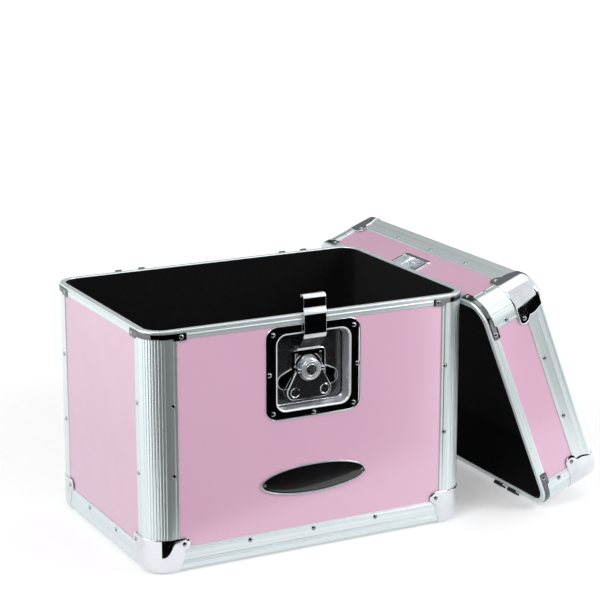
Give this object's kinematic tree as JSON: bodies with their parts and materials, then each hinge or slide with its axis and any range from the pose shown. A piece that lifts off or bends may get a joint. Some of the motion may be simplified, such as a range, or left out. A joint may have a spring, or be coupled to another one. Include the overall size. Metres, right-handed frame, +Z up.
{
  "type": "record carrying case",
  "caption": "Open carrying case with metal edges, a recessed turn latch and an oval plate; its slip-off lid with a folding handle leans on its side.",
  "frame": {"origin": "middle of the floor area that the body and the leaning lid cover together, at floor level", "axes": "+X to the right along the front, where the lid leans; +Y from the front, with the latch, to the back; +Z up"},
  "size_m": [0.5438, 0.3806, 0.28],
  "materials": {
    "laminate": "plywood faced with smooth pink laminate",
    "aluminium": "satin extruded",
    "chrome": "bright plated sheet",
    "lining": "thin dark lining",
    "black_enamel": "gloss",
    "grip": "matt"
  },
  "bodies": {
    "case": {"body_front_panel": "laminate", "body_back_panel": "laminate", "body_left_panel": "laminate", "body_right_panel": "laminate", "body_bottom_panel": "laminate", "body_lining": "lining", "body_rim": "aluminium", "body_post_front_left": "aluminium", "body_post_front_right": "aluminium", "body_post_back_left": "aluminium", "body_post_back_right": "aluminium", "body_edging_front": "aluminium", "body_edging_back": "aluminium", "body_edging_left": "aluminium", "body_edging_right": "aluminium", "body_cap_front_left": "chrome", "body_cap_front_right": "chrome", "body_cap_back_left": "chrome", "body_cap_back_right": "chrome", "body_clamps": "chrome", "body_rivets": "chrome", "body_hinge_left": "chrome", "body_hinge_right": "chrome", "latch_dish": "chrome", "latch_rivets": "chrome", "latch_base_plate": "chrome", "badge_frame": "chrome", "badge_face": "black_enamel"},
    "latch_spindle_body": {"latch_spindle": "chrome", "latch_collar": "chrome", "latch_wing_pin": "chrome"},
    "latch_wing_body": {"latch_wing": "chrome"},
    "latch_hook_body": {"latch_hook": "chrome"},
    "lid": {"lid_front_panel": "laminate", "lid_back_panel": "laminate", "lid_left_panel": "laminate", "lid_right_panel": "laminate", "lid_top_panel": "laminate", "lid_lining": "lining", "lid_rim": "aluminium", "lid_post_front_left": "aluminium", "lid_post_front_right": "aluminium", "lid_post_back_left": "aluminium", "lid_post_back_right": "aluminium", "lid_edging_front": "aluminium", "lid_edging_back": "aluminium", "lid_edging_left": "aluminium", "lid_edging_right": "aluminium", "lid_cap_front_left": "chrome", "lid_cap_front_right": "chrome", "lid_cap_back_left": "chrome", "lid_cap_back_right": "chrome", "lid_clamps": "chrome", "lid_rivets": "chrome", "lid_hinge_left": "chrome", "lid_hinge_right": "chrome", "strike_plate": "chrome", "handle_mounts": "chrome"},
    "handle": {"handle_bail": "chrome", "handle_grip": "grip"}
  },
  "joints": [
    {"name": "latch_twist", "type": "hinge", "parent": "case", "child": "latch_spindle_body", "pos_m": [-0.08157, -0.149, 0.197], "axis": [0, -1, 0], "range_deg": [0, 180]},
    {"name": "wing_fold", "type": "hinge", "parent": "latch_spindle_body", "child": "latch_wing_body", "pos_m": [-0.08157, -0.1556, 0.197], "axis": [-1, 0, 0], "range_deg": [0, 90]},
    {"name": "hook_draw", "type": "slide", "parent": "case", "child": "latch_hook_body", "axis": [0, 0, -1], "range_m": [0, 0.01]},
    {"name": "lid_lift", "type": "slide", "parent": "case", "child": "lid", "axis": [0.8192, 0, 0.5736], "range_m": [0, 0.3]},
    {"name": "handle_swing", "type": "hinge", "parent": "lid", "child": "handle", "pos_m": [0.23116, 0, 0.15598], "axis": [0, -1, 0], "range_deg": [0, 180]}
  ],
  "couplings": [
    {"joint": "wing_fold", "follows": "latch_twist", "ratio": 0.49999},
    {"joint": "hook_draw", "follows": "latch_twist", "m_per_rad": 0.003183}
  ]
}
